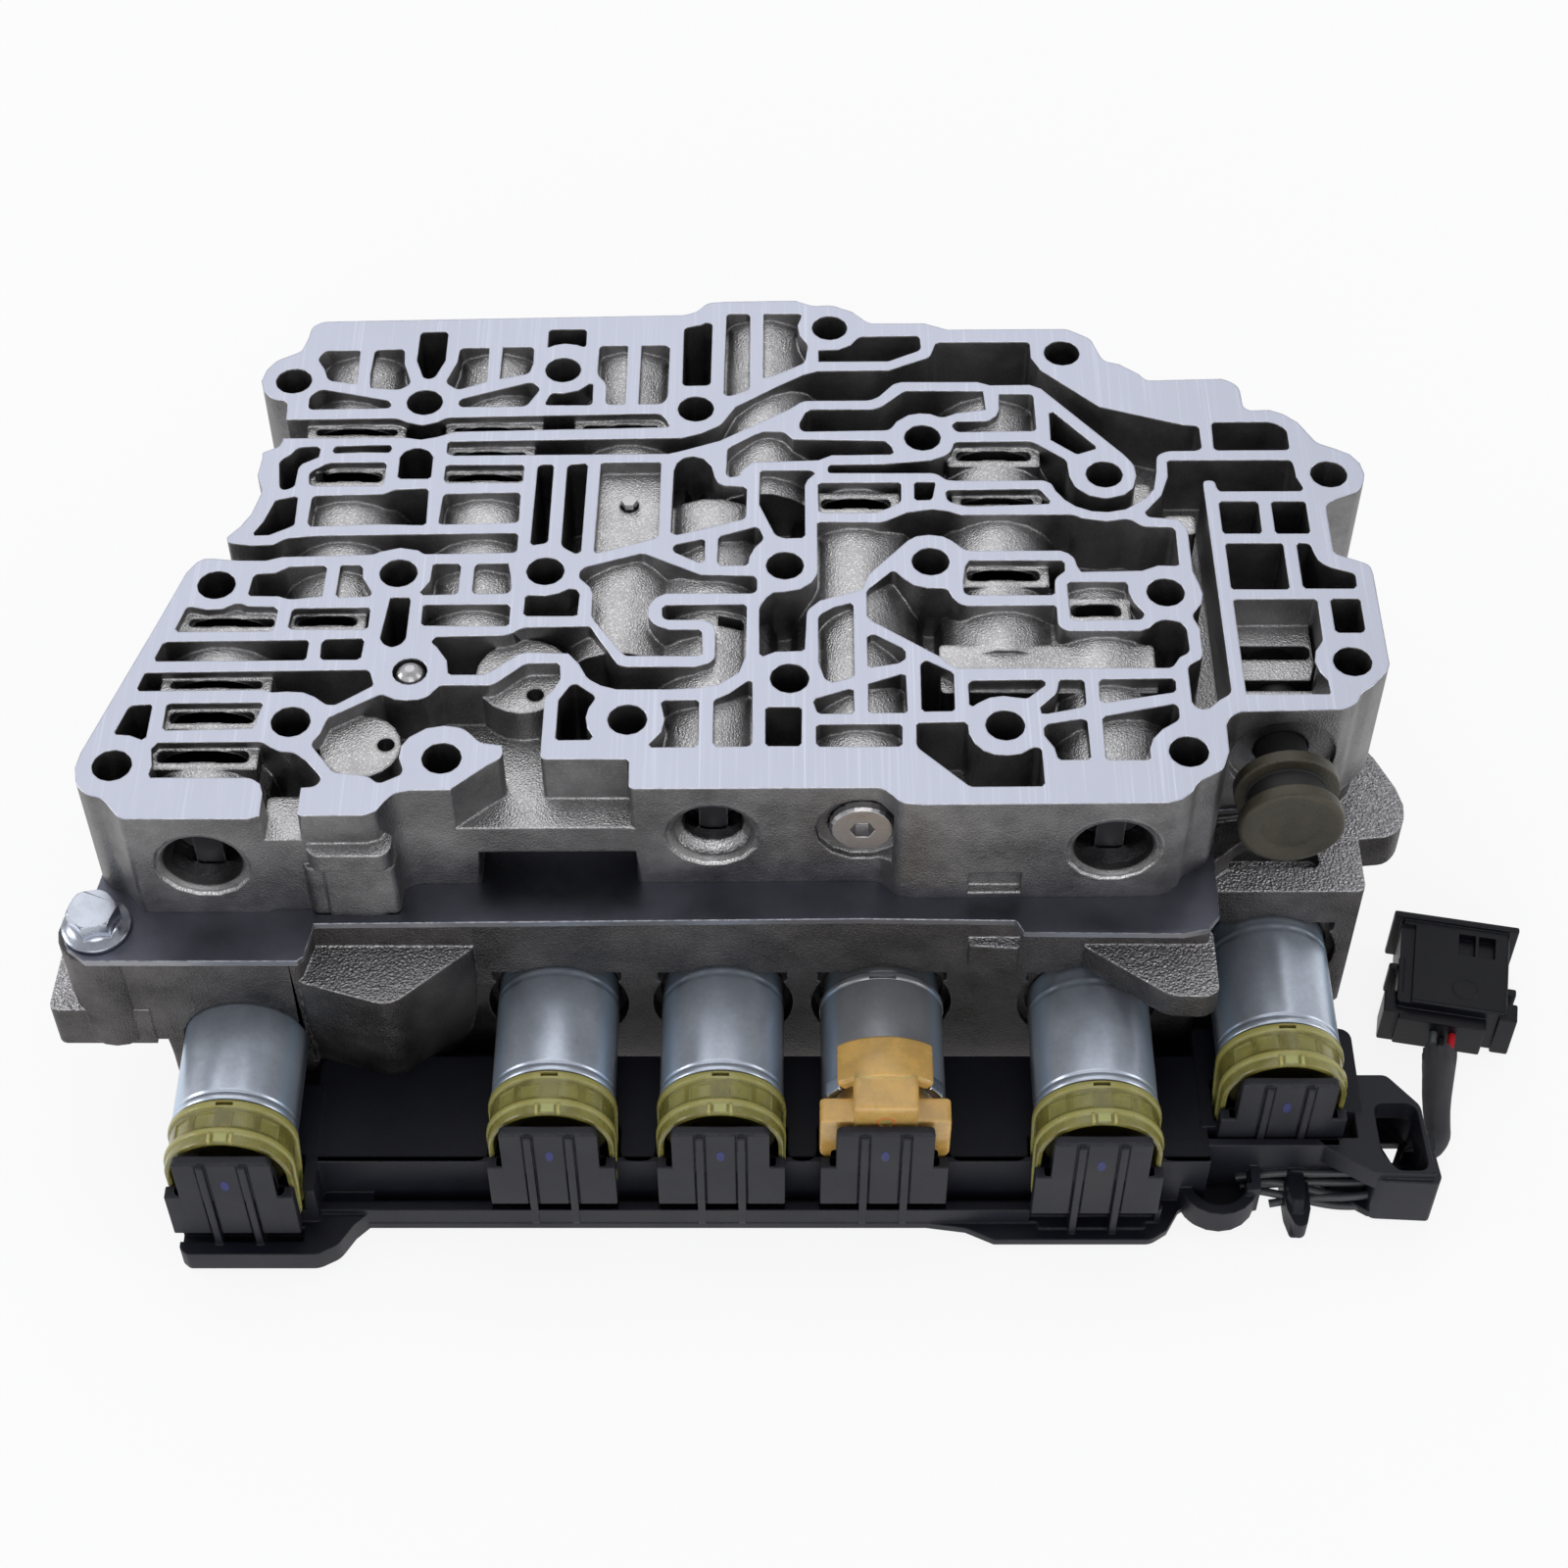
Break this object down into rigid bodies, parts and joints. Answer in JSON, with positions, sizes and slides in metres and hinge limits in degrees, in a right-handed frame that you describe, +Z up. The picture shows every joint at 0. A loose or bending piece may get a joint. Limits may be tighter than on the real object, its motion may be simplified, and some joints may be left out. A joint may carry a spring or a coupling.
{
  "type": "transmission valve body",
  "caption": "Transmission valve body: worm-track casting over a separator plate and lower casting, with solenoids, connector carrier, sprung spool valves and plug.",
  "frame": {"origin": "on the plane that the unit stands on, at a plan point under the machined top face near its front edge", "axes": "+X to the right seen from the solenoid side, +Y away from the solenoids, +Z up out of the machined top face"},
  "size_m": [0.2695, 0.173, 0.0759],
  "materials": {
    "machined_casting": "die cast with a milled top face",
    "rough_casting": "rough die cast",
    "plate_steel": "dark sheet steel",
    "zinc_can": "blue zinc plate",
    "machined_steel": "turned",
    "bright_steel": "bright zinc",
    "spring_steel": "plain wire",
    "valve_aluminium": "ground and anodised",
    "piston_coating": "olive-brown bonded rubber and coating",
    "olive_plastic": "slightly translucent moulding",
    "amber_plastic": "slightly translucent moulding",
    "black_plastic": "satin moulding",
    "grey_plastic": "satin moulding",
    "sleeve_fabric": "braided sleeve",
    "red_insulation": "wire insulation",
    "grey_insulation": "wire insulation",
    "dark_insulation": "wire insulation"
  },
  "bodies": {
    "valve_unit": {"upper_casting": "machined_casting", "separator_plate": "plate_steel", "lower_casting": "rough_casting", "solenoid_1_can": "zinc_can", "solenoid_2_can": "zinc_can", "solenoid_3_can": "zinc_can", "solenoid_4_can": "zinc_can", "solenoid_5_can": "zinc_can", "solenoid_6_can": "zinc_can", "solenoid_1_nose": "machined_steel", "solenoid_2_nose": "machined_steel", "solenoid_3_nose": "machined_steel", "solenoid_4_nose": "machined_steel", "solenoid_5_nose": "machined_steel", "solenoid_6_nose": "machined_steel", "solenoid_1_cap": "olive_plastic", "solenoid_2_cap": "olive_plastic", "solenoid_3_cap": "olive_plastic", "solenoid_4_cap": "amber_plastic", "solenoid_5_cap": "olive_plastic", "solenoid_6_cap": "olive_plastic", "connector_carrier": "black_plastic", "front_left_key": "plate_steel", "front_left_plug": "valve_aluminium", "front_left_spring": "spring_steel", "front_middle_key": "plate_steel", "front_middle_plug": "valve_aluminium", "front_middle_spring": "spring_steel", "front_right_key": "plate_steel", "front_right_plug": "valve_aluminium", "front_right_spring": "spring_steel", "rear_left_key": "plate_steel", "rear_left_plug": "valve_aluminium", "rear_left_spring": "spring_steel", "rear_middle_key": "plate_steel", "rear_middle_plug": "valve_aluminium", "rear_middle_spring": "spring_steel", "front_screw_plug": "machined_steel", "pressed_ball": "bright_steel", "hexagonal_pin": "bright_steel", "corner_flange_bolt": "bright_steel", "plug_housing": "black_plastic", "plug_lock": "grey_plastic", "lead_sleeve": "sleeve_fabric", "lead_wire_red": "red_insulation", "lead_wire_grey": "grey_insulation", "lead_wire_dark": "dark_insulation"},
    "front_left_valve": {"front_left_spool": "valve_aluminium"},
    "front_middle_valve": {"front_middle_spool": "valve_aluminium"},
    "front_right_valve": {"front_right_spool": "valve_aluminium"},
    "rear_left_valve": {"rear_left_spool": "valve_aluminium"},
    "rear_middle_valve": {"rear_middle_spool": "valve_aluminium"},
    "piston": {"sealing_piston": "piston_coating"}
  },
  "joints": [
    {"name": "front_left_valve_slide", "type": "slide", "parent": "valve_unit", "child": "front_left_valve", "axis": [0, 1, 0], "range_m": [-0.004, 0], "stiffness_N_per_m": 400, "springref_m": 0.002, "deforming": ["front_left_spring"]},
    {"name": "front_middle_valve_slide", "type": "slide", "parent": "valve_unit", "child": "front_middle_valve", "axis": [0, 1, 0], "range_m": [-0.004, 0], "stiffness_N_per_m": 400, "springref_m": 0.002, "deforming": ["front_middle_spring"]},
    {"name": "front_right_valve_slide", "type": "slide", "parent": "valve_unit", "child": "front_right_valve", "axis": [0, 1, 0], "range_m": [-0.004, 0], "stiffness_N_per_m": 400, "springref_m": 0.002, "deforming": ["front_right_spring"]},
    {"name": "rear_left_valve_slide", "type": "slide", "parent": "valve_unit", "child": "rear_left_valve", "axis": [0, 1, 0], "range_m": [0, 0.004], "stiffness_N_per_m": 400, "springref_m": -0.002, "deforming": ["rear_left_spring"]},
    {"name": "rear_middle_valve_slide", "type": "slide", "parent": "valve_unit", "child": "rear_middle_valve", "axis": [0, 1, 0], "range_m": [0, 0.004], "stiffness_N_per_m": 400, "springref_m": -0.002, "deforming": ["rear_middle_spring"]},
    {"name": "piston_slide", "type": "slide", "parent": "valve_unit", "child": "piston", "axis": [0, 1, 0], "range_m": [0, 0.005]}
  ]
}
